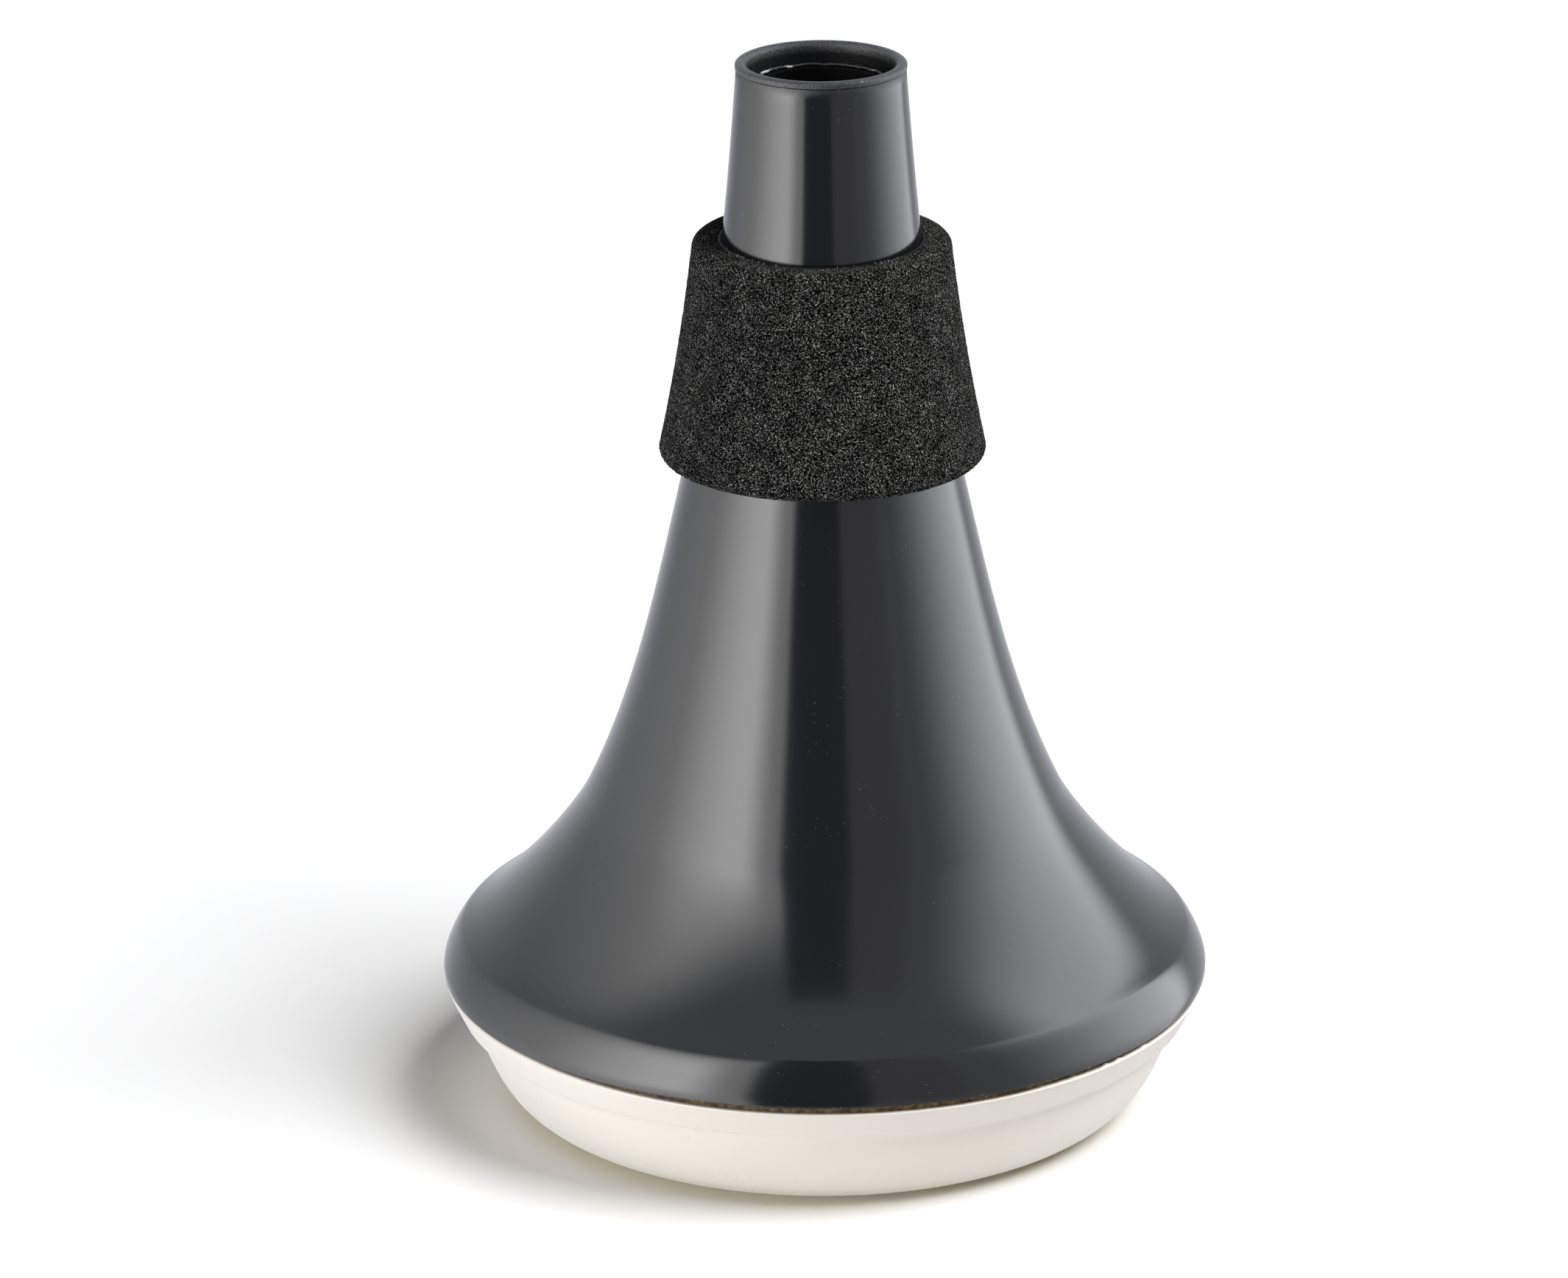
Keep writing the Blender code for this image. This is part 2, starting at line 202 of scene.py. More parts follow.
# %% Colour, nodes and finishing
def linear(hex_colour, alpha=1.0):
    channels = [int(hex_colour[i:i + 2], 16) / 255 for i in (1, 3, 5)]
    light = [c / 12.92 if c <= 0.04045 else ((c + 0.055) / 1.055) ** 2.4 for c in channels]
    return (*light, alpha)


def add(tree, kind, settings=None, inputs=None):
    node = tree.nodes.new(kind)
    for key, value in (settings or {}).items():
        setattr(node, key, value)
    for key, value in (inputs or {}).items():
        if isinstance(value, bpy.types.Node):
            value = next(output for output in value.outputs if output.enabled)
        if isinstance(value, bpy.types.NodeSocket):
            tree.links.new(value, node.inputs[key])
        else:
            node.inputs[key].default_value = value
    return node


def empty_material(name):
    mat = bpy.data.materials.new(name)
    mat.use_nodes = True
    mat.node_tree.nodes.clear()
    coords = add(mat.node_tree, "ShaderNodeTexCoord").outputs["Object"]
    return mat, mat.node_tree, coords


def finished(mat, **inputs):
    """Close a material with its Principled shader, whose inputs are given by name."""
    tree = mat.node_tree
    named = {key.replace("_", " "): value for key, value in inputs.items()}
    shader = add(tree, "ShaderNodeBsdfPrincipled", inputs=named)
    add(tree, "ShaderNodeOutputMaterial", inputs={"Surface": shader})
    print(mat.name, "with", len(tree.nodes), "nodes")
    return mat


def stands_for(piece, mat, node_name, body):
    piece.data.materials.clear()
    piece.data.materials.append(mat)
    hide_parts(node_name)
    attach(piece, body)


# %% [markdown]
# ## Gloss-black ABS
#
# The shell is injection-moulded ABS from a polished tool. Its colour hardly shows: what
# the eye sees is the soft lamps mirrored in it, a little broken by the wave of the
# moulding and by fine dust. So the colour is near black, the roughness is low and patchy,
# and the bump is a long shallow wave. The last few millimetres under the ring were dressed
# with a fine abrasive after the ring went in, so the mirror fades there.

# %% Material: moulded gloss ABS
DRESSED_FROM, DRESSED_TO = 148.2, 149.5     # height where the dressed band starts and is full
WEAR_FROM, WEAR_TO = 19.15, 18.92           # rubbed lower edge of the rim


def gloss_abs():
    mat, tree, coords = empty_material("gloss black ABS moulded")
    height = add(tree, "ShaderNodeSeparateXYZ", inputs={"Vector": coords}).outputs["Z"]
    cloud = add(tree, "ShaderNodeTexNoise", inputs={"Vector": coords, "Scale": 60.0, "Detail": 3.0})
    black = add(tree, "ShaderNodeMix", {"data_type": "RGBA"},
                {"Factor": cloud, "A": linear("#08080a"), "B": linear("#0e0f11")})
    dots = add(tree, "ShaderNodeTexVoronoi", inputs={"Vector": coords, "Scale": 1100.0})
    speck = add(tree, "ShaderNodeMapRange", inputs={"Value": dots, "From Min": 0.10, "From Max": 0.04})
    patch = add(tree, "ShaderNodeTexNoise", inputs={"Vector": coords, "Scale": 130.0})
    dusty = add(tree, "ShaderNodeMapRange", inputs={"Value": patch, "From Min": 0.54, "From Max": 0.62})
    dust = add(tree, "ShaderNodeMath", {"operation": "MULTIPLY"}, {0: speck, 1: dusty})
    low = add(tree, "ShaderNodeMapRange", inputs={
        "Value": height, "From Min": WEAR_FROM * MM, "From Max": WEAR_TO * MM})
    grit = add(tree, "ShaderNodeTexNoise", inputs={"Vector": coords, "Scale": 1500.0})
    rubbed = add(tree, "ShaderNodeMapRange", inputs={"Value": grit, "From Min": 0.60, "From Max": 0.66})
    high = add(tree, "ShaderNodeMapRange", inputs={
        "Value": height, "From Min": (TIP_Z - 0.2) * MM, "From Max": (TIP_Z - 0.05) * MM})
    edges = add(tree, "ShaderNodeMath", {"operation": "MAXIMUM"}, {0: low, 1: high})
    wear = add(tree, "ShaderNodeMath", {"operation": "MULTIPLY"}, {0: edges, 1: rubbed})
    marks = add(tree, "ShaderNodeMath", {"operation": "MAXIMUM"}, {0: dust, 1: wear})
    pale = add(tree, "ShaderNodeMath", {"operation": "MULTIPLY"}, {0: marks, 1: 0.4})
    colour = add(tree, "ShaderNodeMix", {"data_type": "RGBA"},
                 {"Factor": pale, "A": black, "B": linear("#8f8c86")})
    polish = add(tree, "ShaderNodeMapRange", inputs={"Value": cloud, "To Min": 0.11, "To Max": 0.17})
    dressed = add(tree, "ShaderNodeMapRange", {"interpolation_type": "SMOOTHSTEP"}, {
        "Value": height, "From Min": DRESSED_FROM * MM, "From Max": DRESSED_TO * MM,
        "To Max": 0.34})
    rough = add(tree, "ShaderNodeMath", {"operation": "ADD"}, {0: polish, 1: dressed})
    wave = add(tree, "ShaderNodeTexNoise", inputs={"Vector": coords, "Scale": 24.0, "Detail": 2.0})
    relief = add(tree, "ShaderNodeBump", inputs={"Strength": 0.2, "Distance": 0.0005, "Height": wave})
    return finished(mat, Base_Color=colour, Roughness=rough, IOR=1.54, Normal=relief)


# %% [markdown]
# ## The shell
#
# A thin flared wall, open at both ends, rebated inside the tip and bored inside the rim.
# The outside follows the outline, the inside is the same outline set in square to itself
# by the wall's thickness. Both outer edges are broken by a tenth of a millimetre, because
# no moulded edge is quite sharp, and that thin line catches the light.

# %% Build the shell
inner = inset(OUTLINE, SHELL_WALL)
bore = [p for p in inner if p[1] < REBATE_Z - 0.5 and p[0] < SOCKET_R - 0.1][::3]
section = [(TIP_R - 0.14, TIP_Z), (TIP_R - 0.04, TIP_Z - 0.04), (TIP_R, TIP_Z - 0.14)]
section += OUTLINE[1:-1] + [(RIM_R, RIM_Z + 0.1), (RIM_R - 0.03, RIM_Z + 0.03), (RIM_R - 0.1, RIM_Z)]
section += [(SOCKET_R, RIM_Z), (SOCKET_R, bore[-1][1] - 0.1)]
section += list(reversed(bore)) + [(bore[0][0], REBATE_Z), (REBATE_R, REBATE_Z), (REBATE_R, TIP_Z)]
shell = spun("shell", section)
stands_for(shell, gloss_abs(), "body_shell", "housing")

# %% [markdown]
# ## Grained plastic of the tip ring
#
# The ring is a duller moulding with a spark-eroded grain of about a third of a millimetre,
# as coarse as it must be to show. Colour and bump follow the same grain, and the roughness
# is middling, so the lamps spread into a soft grey sheen. Its lip is nicked pale in places,
# and its bore is painted near black with little sheen, as painted shade for the light that hardly comes
# back out of it.


# %% Material: grained plastic
def grained_plastic(name, dark, light, bore=(10.15, 9.95), nick="#a8a9a8"):
    mat, tree, coords = empty_material(name)
    flat = add(tree, "ShaderNodeVectorMath", {"operation": "MULTIPLY"}, {0: coords, 1: (1.0, 1.0, 0.0)})
    radius = add(tree, "ShaderNodeVectorMath", {"operation": "LENGTH"}, {0: flat})
    # painted shade: inside the bore's radius the colour turns near black and the sheen drops
    painted_bore_shade = add(tree, "ShaderNodeMapRange", inputs={
        "Value": radius, "From Min": bore[0] * MM, "From Max": bore[1] * MM})
    grain = add(tree, "ShaderNodeTexNoise", inputs={"Vector": coords, "Scale": 3400.0, "Detail": 3.0,
                                                    "Roughness": 0.7})
    tone = add(tree, "ShaderNodeMapRange", inputs={"Value": grain, "From Min": 0.42, "From Max": 0.62})
    body = add(tree, "ShaderNodeMix", {"data_type": "RGBA"},
               {"Factor": tone, "A": linear(dark), "B": linear(light)})
    chips = add(tree, "ShaderNodeTexNoise", inputs={"Vector": coords, "Scale": 1700.0, "Detail": 3.0})
    chip = add(tree, "ShaderNodeMapRange", inputs={"Value": chips, "From Min": 0.70, "From Max": 0.76})
    nicked = add(tree, "ShaderNodeMix", {"data_type": "RGBA"},
                 {"Factor": chip, "A": body, "B": linear(nick)})
    colour = add(tree, "ShaderNodeMix", {"data_type": "RGBA"},
                 {"Factor": painted_bore_shade, "A": nicked, "B": linear("#101112")})
    sheen = add(tree, "ShaderNodeMapRange", inputs={"Value": painted_bore_shade, "To Min": 0.5, "To Max": 0.08})
    relief = add(tree, "ShaderNodeBump", inputs={"Strength": 1.0, "Distance": 0.00014, "Height": grain})
    return finished(mat, Base_Color=colour, Roughness=0.27, IOR=1.5, Specular_IOR_Level=sheen,
                    Normal=relief)


# %% Build the tip ring
CROWN, RING_R, MOUTH = (10.95, 150.6), 11.78, (10.12, 149.7)
SEAT_Z, SKIRT_LOW, SKIRT_R, RING_BORE_R = TIP_Z + 0.05, 143.6, 10.3, 9.6
side_z = SEAT_Z + 0.48
lip = [(CROWN[0] + (RING_R - CROWN[0]) * math.cos(a), side_z + (CROWN[1] - side_z) * math.sin(a))
       for a in (math.radians(90 - 90 * i / 10) for i in range(11))]
mouth = [(CROWN[0] - (CROWN[0] - MOUTH[0]) * math.cos(a), MOUTH[1] + (CROWN[1] - MOUTH[1]) * math.sin(a))
         for a in (math.radians(9 * i) for i in range(10))]
skirt = [(RING_R - 0.02, SEAT_Z + 0.08), (RING_R - 0.10, SEAT_Z), (SKIRT_R, SEAT_Z), (SKIRT_R, SKIRT_LOW),
         (RING_BORE_R, SKIRT_LOW), (RING_BORE_R, TUBE_TOP + 0.25)]
tip_ring = spun("tip_ring_piece", lip + skirt + mouth)
stands_for(tip_ring, grained_plastic("charcoal grained moulding", "#121315", "#2f3032"),
           "tip_ring", "housing")

# %% [markdown]
# ## The air tube and its glue
#
# Looking into the tip one sees the tube's end as a narrow ledge and then only darkness.
# The tube is an extruded black plastic with faint lines along it. A bead of clear glue
# holds its end in the ring. It was run round by hand, so it swells, thins and has dried
# milky where air got in, mostly at the left and the right.

# %% Build the tube
tube_mat, tree, coords = empty_material("black tube extruded")
drawn = add(tree, "ShaderNodeMapping", inputs={"Vector": coords, "Scale": (1.0, 1.0, 0.02)})
lines = add(tree, "ShaderNodeTexNoise", inputs={"Vector": drawn, "Scale": 1600.0, "Detail": 2.0})
tube_tone = add(tree, "ShaderNodeMix", {"data_type": "RGBA"},
                {"Factor": lines, "A": linear("#020202"), "B": linear("#060607")})
tube_relief = add(tree, "ShaderNodeBump", inputs={"Strength": 0.2, "Distance": 0.0001, "Height": lines})
finished(tube_mat, Base_Color=tube_tone, Roughness=0.6, IOR=1.5, Specular_IOR_Level=0.06,
         Normal=tube_relief)
tube_section = round_ring(TUBE_R - TUBE_WALL, TUBE_R, TUBE_LOW, TUBE_TOP, edge=0.12, pitch=8.0)
tube = spun("air_tube", tube_section, steps=128)
stands_for(tube, tube_mat, "inner_tube", "housing")

# %% Run the glue round
BEAD_R = 0.2


def hand_run(co):
    angle = math.atan2(co.y, co.x)
    swell = noise.noise(Vector((math.cos(angle) * 6, math.sin(angle) * 6, 0.5)))
    fine = noise.noise(co * 2600.0)
    across, upward = swell * 0.00008 + fine * 0.00005, swell * 0.00012 + fine * 0.00005
    return outward(co) * across + Vector((0, 0, upward))


bead = arc((9.2, TUBE_TOP + 0.24), BEAD_R, 0, -330, 11)
glue = spun("glue_bead", bead, steps=512, wobble=hand_run, sharp=80)
glue_mat, tree, coords = empty_material("milky dried glue")
air = add(tree, "ShaderNodeTexNoise", inputs={"Vector": coords, "Scale": 420.0, "Detail": 4.0})
sides = add(tree, "ShaderNodeSeparateXYZ", inputs={"Vector": coords}).outputs["X"]
off_middle = add(tree, "ShaderNodeMath", {"operation": "ABSOLUTE"}, {0: sides})
run_thick = add(tree, "ShaderNodeMapRange", inputs={
    "Value": off_middle, "From Min": 0.003, "From Max": 0.006, "To Min": -0.12, "To Max": 0.10})
airy = add(tree, "ShaderNodeMath", {"operation": "ADD"}, {0: air, 1: run_thick})
milky = add(tree, "ShaderNodeMapRange", inputs={"Value": airy, "From Min": 0.55, "From Max": 0.66})
glue_tone = add(tree, "ShaderNodeMix", {"data_type": "RGBA"},
                {"Factor": milky, "A": linear("#2a2a2b"), "B": linear("#b9bab8")})
finished(glue_mat, Base_Color=glue_tone, Roughness=0.45, IOR=1.48, Specular_IOR_Level=0.25)
stands_for(glue, glue_mat, "tip_glue_bead", "housing")

# %% [markdown]
# ## Foam collar
#
# The collar is cut from closed-cell foam, so its skin is a field of sliced cells a fifth of
# a millimetre across: dark pits with paler walls that catch the light. The larger cells are
# real relief in the mesh and the fine ones a bump, and the colour follows the same noise,
# sharpened by a power so that few walls are pale. Foam drinks in light, so only those walls
# have any sheen. The cone is hollowed a little and its top was cut slightly out of true.


# %% Foam material
def cut_foam():
    mat, tree, coords = empty_material("black EVA foam cut")
    grain = add(tree, "ShaderNodeTexNoise", inputs={"Vector": coords, "Scale": 5200.0, "Detail": 2.0})
    open_wall = add(tree, "ShaderNodeMapRange", inputs={"Value": grain, "From Min": 0.38, "From Max": 0.72})
    sliced = add(tree, "ShaderNodeMath", {"operation": "POWER"}, {0: open_wall, 1: 3.4})
    spread = add(tree, "ShaderNodeTexNoise", inputs={"Vector": coords, "Scale": 420.0, "Detail": 4.0})
    pressed = add(tree, "ShaderNodeMapRange", inputs={
        "Value": spread, "From Min": 0.3, "From Max": 0.7, "To Min": 0.5, "To Max": 1.15})
    walls = add(tree, "ShaderNodeMath", {"operation": "MULTIPLY"}, {0: sliced, 1: pressed})
    colour = add(tree, "ShaderNodeMix", {"data_type": "RGBA"},
                 {"Factor": walls, "A": linear("#010101"), "B": linear("#b4b3b1")})
    sheen = add(tree, "ShaderNodeMapRange", inputs={"Value": walls, "To Max": 0.3})
    relief = add(tree, "ShaderNodeBump", inputs={"Strength": 1.0, "Distance": 0.0003, "Height": grain})
    return finished(mat, Base_Color=colour, Roughness=0.8, IOR=1.45, Specular_IOR_Level=sheen,
                    Normal=relief)


# %% Section of the collar
COLLAR_LOW_R, COLLAR_LOW_Z = 22.6, 94.5
COLLAR_TOP_R, COLLAR_TOP_Z = 17.88, 126.0
COLLAR_EDGE = 1.3
HOLLOWED, DISHED, ASKEW = 0.38, 0.12, 0.28      # the cone is pressed in, the top dips and leans
SIDE_STEPS, SEAT_STEPS = 96, 16
SLEEVE_WALL, FIT, LIP_WALL, LIP_TAPER = 1.0, 0.3, 0.42, 4.0


def sleeve_thickness(z):
    """The sleeve's wall thins to a fine lip over its last few millimetres."""
    return LIP_WALL + (SLEEVE_WALL - LIP_WALL) * min(1.0, max(0.0, (COLLAR_TOP_Z - DISHED - z) / LIP_TAPER))


lean = math.degrees(math.atan2(COLLAR_LOW_R - COLLAR_TOP_R, COLLAR_TOP_Z - COLLAR_LOW_Z))
top_arc = arc((COLLAR_TOP_R - COLLAR_EDGE, COLLAR_TOP_Z - COLLAR_EDGE), COLLAR_EDGE, 90, lean, 10)
low_arc = arc((COLLAR_LOW_R - COLLAR_EDGE, COLLAR_LOW_Z + COLLAR_EDGE), COLLAR_EDGE, lean, -90, 10)
side = []
for i, (r, z) in enumerate(run(top_arc[-1], low_arc[0], SIDE_STEPS), start=1):
    share = i / SIDE_STEPS
    side.append((r - 4 * HOLLOWED * share * (1 - share), z))
seat_rise = COLLAR_TOP_Z - DISHED - COLLAR_LOW_Z
seat = []
for i in range(SEAT_STEPS + 1):
    z = COLLAR_LOW_Z + seat_rise * i / SEAT_STEPS
    seat.append((radius_at(OUTLINE, z) + 0.18 + sleeve_thickness(z), z))
collar_section = top_arc + side + low_arc + run(low_arc[-1], seat[0], 8)
collar_section += seat + run(seat[-1], top_arc[0], 8)
print("collar section", len(collar_section), "points, cone", round(lean, 1), "degrees")


# %% Turn the collar and open its cells
def askew(co):
    """The top of the collar was cut a little out of true and leans down at the front."""
    share = min(1.0, max(0.0, (co.z / MM - COLLAR_TOP_Z + 14.0) / 14.0))
    return Vector((0, 0, -ASKEW * MM * share * (1.0 - co.y / math.hypot(co.x, co.y))))


def open_cells(co):
    """Sliced cells a third of a millimetre across, over lumps of about a millimetre."""
    pit = noise.noise(co * 2900.0) * 0.00010 + noise.noise(co * 1100.0) * 0.00004
    return outward(co) * pit - Vector((0, 0, abs(pit) * 0.6)) + askew(co)


foam = spun("foam_collar_piece", collar_section, steps=512, wobble=open_cells, sharp=180)
stands_for(foam, cut_foam(), "foam_collar", "collar")

# %% [markdown]
# ## Sleeve under the foam
#
# A thin smooth rubber sleeve carries the foam. Its lip shows round the neck as a dark line
# and follows the slant of the foam's top.

# %% Build the sleeve
sleeve_top, sleeve_low = COLLAR_TOP_Z - DISHED, COLLAR_LOW_Z + 0.35
heights = [sleeve_top + (sleeve_low - sleeve_top) * i / 16 for i in range(17)]
grip = [(radius_at(OUTLINE, z) + 0.06, z) for z in heights]
skin = [(r + 0.06 + sleeve_thickness(z), z) for r, z in grip]
edge = [(grip[0][0] + 0.06, sleeve_top + 0.06), (grip[0][0] + 0.17, sleeve_top + 0.09),
        (skin[0][0] - 0.17, sleeve_top + 0.09), (skin[0][0] - 0.06, sleeve_top + 0.06)]
sleeve = spun("sleeve_piece", skin + list(reversed(grip)) + edge, wobble=askew, sharp=60)
sleeve_mat, tree, coords = empty_material("black rubber smooth")
rub = add(tree, "ShaderNodeTexNoise", inputs={"Vector": coords, "Scale": 900.0, "Detail": 2.0})
sleeve_tone = add(tree, "ShaderNodeMix", {"data_type": "RGBA"},
                  {"Factor": rub, "A": linear("#0b0b0c"), "B": linear("#171719")})
sleeve_relief = add(tree, "ShaderNodeBump", inputs={"Strength": 0.3, "Distance": 0.0001, "Height": rub})
finished(sleeve_mat, Base_Color=sleeve_tone, Roughness=0.7, IOR=1.5, Specular_IOR_Level=0.1,
         Normal=sleeve_relief)
stands_for(sleeve, sleeve_mat, "collar_sleeve", "collar")

# %% [markdown]
# ## Crumbs at the lip
#
# Sliding the collar on rubs pale crumbs off the foam's skin, and they gather where the lip
# meets the neck. Each is a small icosphere squeezed out of shape. They lie in two drifts,
# left and right of the front, with a few strays between.

# %% Scatter the crumbs
CRUMB_DRIFTS = ((-52, 7, 26), (38, 6, 16), (-8, 45, 10))   # middle and spread in degrees, count
crumb_rng = random.Random(11)
bm = bmesh.new()
for middle, spread, count in CRUMB_DRIFTS:
    for _ in range(count):
        turn = math.radians(crumb_rng.gauss(middle, spread))
        reach = (grip[0][0] + crumb_rng.uniform(0.15, 0.9)) * MM
        place = Vector((math.sin(turn) * reach, -math.cos(turn) * reach, (sleeve_top + 0.12) * MM))
        place += askew(place)
        squeeze = Matrix.Diagonal([crumb_rng.uniform(0.5, 1.8) for _ in range(3)] + [1.0])
        spin = Matrix.Rotation(crumb_rng.uniform(0, math.tau), 4, "Z")
        bmesh.ops.create_icosphere(bm, subdivisions=1, radius=crumb_rng.uniform(0.04, 0.09) * MM,
                                   matrix=Matrix.Translation(place) @ spin @ squeeze)
crumbs = as_piece("rubbed_crumbs", bm, sharp=180)
crumb_mat, tree, coords = empty_material("foam crumb rubbed pale")
crumb_noise = add(tree, "ShaderNodeTexNoise", inputs={"Vector": coords, "Scale": 2500.0})
crumb_tone = add(tree, "ShaderNodeMix", {"data_type": "RGBA"},
                 {"Factor": crumb_noise, "A": linear("#4d4d4c"), "B": linear("#b4b3b0")})
finished(crumb_mat, Base_Color=crumb_tone, Roughness=0.9)
crumbs.data.materials.append(crumb_mat)
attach(crumbs, "collar")

# %% [markdown]
# ## Ivory cap
#
# The cap is moulded in ivory ABS with a polish like the shell's. It is faintly mottled, and
# towards the foot its colour is painted darker and yellower, as painted shade near the table.

# %% Material: ivory ABS
FOOT_SHADE_FROM, FOOT_SHADE_TO = 3.9, 0.7           # height where the painted foot shade starts and is full


def ivory_abs():
    mat, tree, coords = empty_material("ivory ABS moulded")
    height = add(tree, "ShaderNodeSeparateXYZ", inputs={"Vector": coords}).outputs["Z"]
    tone = add(tree, "ShaderNodeTexNoise", inputs={"Vector": coords, "Scale": 35.0, "Detail": 3.0})
    body = add(tree, "ShaderNodeMix", {"data_type": "RGBA"},
               {"Factor": tone, "A": linear("#e8e0d5"), "B": linear("#ece5db")})
    # painted shade: the colour darkens and yellows towards the foot, where the cap meets the table
    painted_foot_shade = add(tree, "ShaderNodeMapRange", {"interpolation_type": "SMOOTHSTEP"}, {
        "Value": height, "From Min": FOOT_SHADE_FROM * MM, "From Max": FOOT_SHADE_TO * MM, "To Max": 0.95})
    colour = add(tree, "ShaderNodeMix", {"data_type": "RGBA"},
                 {"Factor": painted_foot_shade, "A": body, "B": linear("#d3c69f")})
    rough = add(tree, "ShaderNodeMapRange", inputs={"Value": tone, "To Min": 0.24, "To Max": 0.34})
    grain = add(tree, "ShaderNodeTexNoise", inputs={"Vector": coords, "Scale": 1400.0, "Detail": 2.0})
    relief = add(tree, "ShaderNodeBump", inputs={"Strength": 0.1, "Distance": 0.00005, "Height": grain})
    return finished(mat, Base_Color=colour, Roughness=rough, IOR=1.54, Normal=relief)


# %% [markdown]
# ## The cap's profile
#
# Flange, gasket groove, spigot and dish are one open chain from the axis round to the axis.
# The corner under the flange is filleted, as a moulding tool leaves it. The lip beside the
# seam has sprung up on the left and is worn down at the front, so that the seam is thin on
# the left and widest in front. At the front right, where the cap has been levered off, the
# lip is torn ragged and has a few burrs. A wobble moves just those vertices. The floor is
# turned on its own, so that the Boolean that drills its three vents has little to cut, and
# is then joined to the rest.

# %% Sizes of the cap
CAP_WALL, FLANGE_R, FLANGE_LOW_R = 2.3, 53.7, 51.9
FLANGE_TOP, FLANGE_LOW = RIM_Z - 0.5, RIM_Z - 5.3
DISH_TOP_R, DISH_LEAN, DISH_SIDE, DISH_FOOT, FLAT_R = 50.3, 20.3, 7.7, 8.8, 37.2
SPIGOT_R, SPIGOT_IN, SPIGOT_TOP = 49.7, 47.7, RIM_Z + 4.0
GROOVE_R, GROOVE_Z = FLANGE_R - 0.9, FLANGE_TOP - 0.75
VENT_R, VENT_CIRCLE_R, VENTS = 1.25, 22.0, 3
TOP_ROUND, LOW_ROUND = 0.4, 0.8
FLOOR_R, CAP_STEPS = 30.0, 720
SPRUNG, SPRUNG_AT, SUNK = 0.28, -75.0, 0.07     # lip's spring, its place in degrees, how low the rest lies
WORN, WORN_SIDE = 0.46, 51.0                    # wear at the front, and how far round it reaches
BURRS = ((45.9, 0.34, 0.7), (48.7, 0.40, 0.6), (55.1, 0.26, 0.8))   # degrees, height, half width
TORN_FROM, TORN_TO, TORN = 30.0, 44.0, 0.20     # torn stretch of the lip in degrees, and how high
print("cap", 2 * FLANGE_R, "mm across, spigot", round(SPIGOT_TOP, 2), "mm high")

# %% Section of the cap
dish_top = (DISH_TOP_R, FLANGE_LOW, -DISH_LEAN)
dish = [bezier(dish_top[:2], along(dish_top, DISH_SIDE), (FLAT_R + DISH_FOOT, 0.0), (FLAT_R, 0.0), i / 40)
        for i in range(41)]
bowl = [p for p in reversed(inset(dish, CAP_WALL)) if p[0] < SPIGOT_IN - 0.1][::2]
flange_lean = math.degrees(math.atan2(FLANGE_R - FLANGE_LOW_R, FLANGE_TOP - FLANGE_LOW))
low_round = arc((FLANGE_LOW_R - LOW_ROUND, FLANGE_LOW + LOW_ROUND), LOW_ROUND, -flange_lean, -100, 8)
fillet = [bezier(low_round[-1], (50.75, FLANGE_LOW - 0.05), (50.30, FLANGE_LOW - 0.25), dish[3], i / 6)
          for i in range(1, 6)]
cap_section = [(FLOOR_R, CAP_WALL)] + bowl + [
    (SPIGOT_IN, bowl[-1][1] + 0.6), (SPIGOT_IN, SPIGOT_TOP - 0.4), (SPIGOT_IN + 0.12, SPIGOT_TOP - 0.12),
    (SPIGOT_IN + 0.4, SPIGOT_TOP), (SPIGOT_R - 0.4, SPIGOT_TOP), (SPIGOT_R - 0.1, SPIGOT_TOP - 0.25),
    (SPIGOT_R, SPIGOT_TOP - 0.6), (SPIGOT_R, GROOVE_Z), (GROOVE_R, GROOVE_Z), (GROOVE_R, FLANGE_TOP),
] + arc((FLANGE_R - TOP_ROUND, FLANGE_TOP - TOP_ROUND), TOP_ROUND, 90, -flange_lean, 8)
cap_section += run(cap_section[-1], low_round[0], 6) + low_round + fillet + dish[3:] + [(FLOOR_R, 0.0)]
print("cap section", len(cap_section), "points")


# %% Wear of the lip
def sprung(side):
    """How far the flange's lip has sprung up at a place round it, in millimetres."""
    edge_of_wear = math.cos(math.radians(WORN_SIDE))
    worn = max(0.0, math.cos(math.radians(side)) - edge_of_wear) / (1.0 - edge_of_wear)
    return SPRUNG * math.cos(math.radians(side - SPRUNG_AT)) - SUNK - WORN * worn


def levered(co):
    """The lip by the seam is bruised where the cap is prised off, at the front right."""
    r, z = math.hypot(co.x, co.y) / MM, co.z / MM
    if r < GROOVE_R - 0.05 or z < FLANGE_TOP - 0.9:
        return Vector()
    side = math.degrees(math.atan2(co.x, -co.y))
    burr = max(tall * max(0.0, 1.0 - abs(side - turn) / wide) for turn, tall, wide in BURRS)
    if TORN_FROM < side < TORN_TO:
        share = math.sin(math.pi * (side - TORN_FROM) / (TORN_TO - TORN_FROM))
        burr += share * TORN * max(0.0, 0.4 + noise.noise(Vector((side * 1.3, r * 1.5, 4.0))))
    reach = min(1.0, (z - FLANGE_TOP + 0.9) / 0.9)
    return Vector((0, 0, (sprung(side) + burr * reach**3) * reach * MM))


print("lip", round(sprung(SPRUNG_AT), 2), "mm at the left,", round(sprung(0.0), 2), "mm in front")

